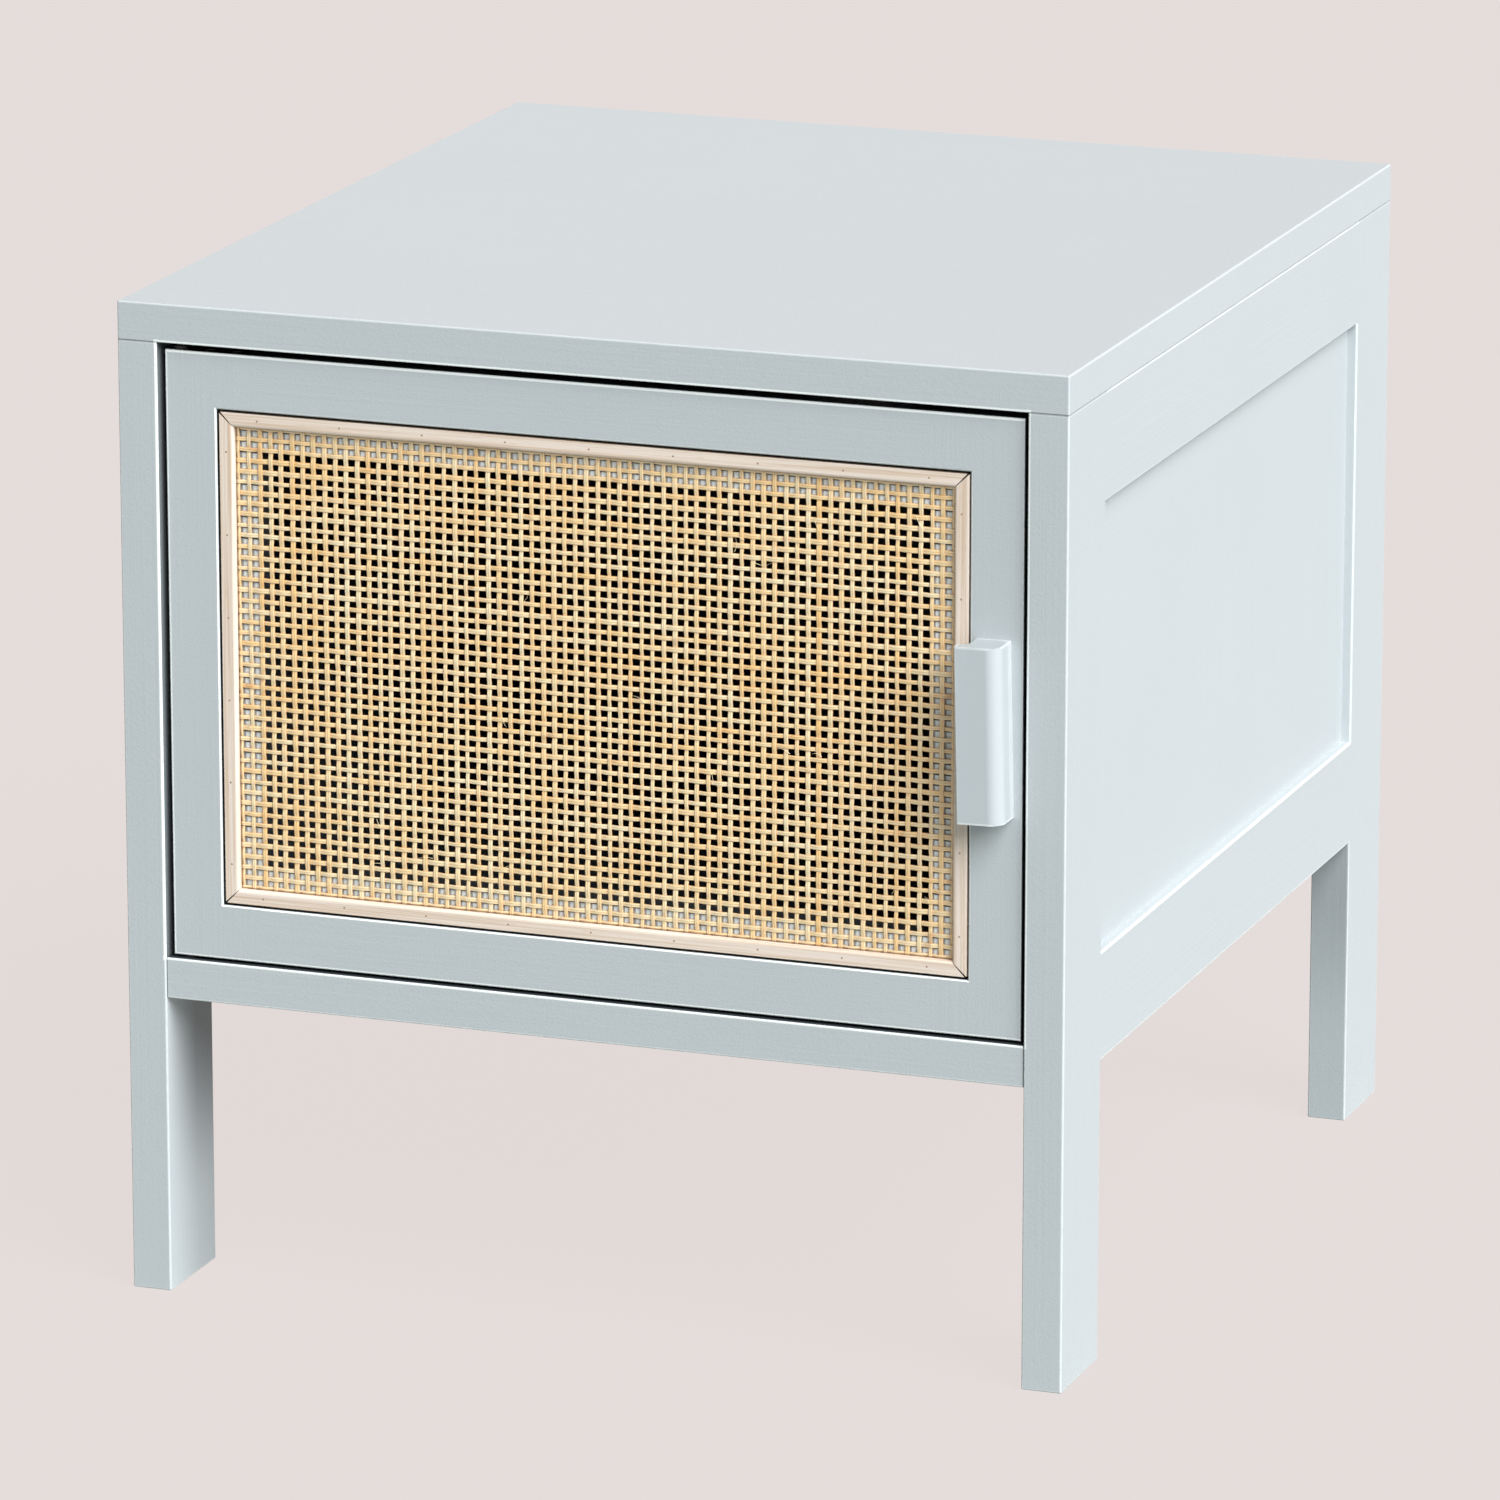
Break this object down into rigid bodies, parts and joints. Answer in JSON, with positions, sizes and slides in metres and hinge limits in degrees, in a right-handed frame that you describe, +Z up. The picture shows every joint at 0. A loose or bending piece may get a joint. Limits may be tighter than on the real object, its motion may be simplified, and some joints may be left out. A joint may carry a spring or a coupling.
{
  "type": "storage side table with door",
  "caption": "Square painted side table: a low cabinet on legs, closed by an inset hinged door with a woven cane panel and a small lipped pull.",
  "frame": {"origin": "on the floor, at the centre of the overall box with the pull included", "axes": "+Z up, -Y is the front with the door, +X is the side of the door's pull"},
  "size_m": [0.455, 0.513, 0.47],
  "materials": {
    "painted": "satin paint, pale grey-green",
    "pull_paint": "satin paint, pale grey",
    "back_board": "matt painted board",
    "cane": "natural woven cane",
    "bead_wood": "raw, pale",
    "beech": "raw",
    "zinc_steel": "zinc plated",
    "zinc_alloy": "cast, dull",
    "hinge_steel": "black oxide",
    "nylon": "black",
    "catch_plastic": "white",
    "magnet": "black"
  },
  "bodies": {
    "cabinet": {"top_board": "painted", "stile_front_left": "painted", "stile_front_right": "painted", "stile_back_left": "painted", "stile_back_right": "painted", "rail_top_left": "painted", "rail_top_right": "painted", "rail_bottom_left": "painted", "rail_bottom_right": "painted", "panel_left": "painted", "panel_right": "painted", "bottom_board": "painted", "back_panel": "back_board", "back_panel_screws": "zinc_steel", "frame_dowels": "beech", "top_dowels": "beech", "floor_dowels": "beech", "cam_bolts_top": "zinc_steel", "cam_bolts_floor": "zinc_steel", "cam_locks_top": "zinc_alloy", "cam_locks_floor": "zinc_alloy", "hinge_leaf_top_cabinet": "hinge_steel", "hinge_leaf_floor_cabinet": "hinge_steel", "hinge_washer_floor": "nylon", "hinge_screws_cabinet": "zinc_steel", "catch_case": "catch_plastic", "catch_magnet": "magnet", "catch_poles": "zinc_steel", "catch_screws": "zinc_steel"},
    "door": {"door_stile_hinge": "painted", "door_stile_latch": "painted", "door_rail_top": "painted", "door_rail_bottom": "painted", "door_dowels": "beech", "cane_panel": "cane", "bead_bottom": "bead_wood", "bead_right": "bead_wood", "bead_top": "bead_wood", "bead_left": "bead_wood", "bead_pins": "zinc_steel", "door_pull": "pull_paint", "pull_screws": "zinc_steel", "hinge_leaf_top_door": "hinge_steel", "hinge_leaf_floor_door": "hinge_steel", "hinge_washer_top": "nylon", "hinge_screws_door": "zinc_steel", "strike_plate": "hinge_steel", "strike_screws": "zinc_steel"}
  },
  "joints": [
    {"name": "door_hinge", "type": "hinge", "parent": "cabinet", "child": "door", "pos_m": [-0.1993, -0.233, 0.3057], "axis": [0, 0, -1], "range_deg": [0, 100]}
  ]
}
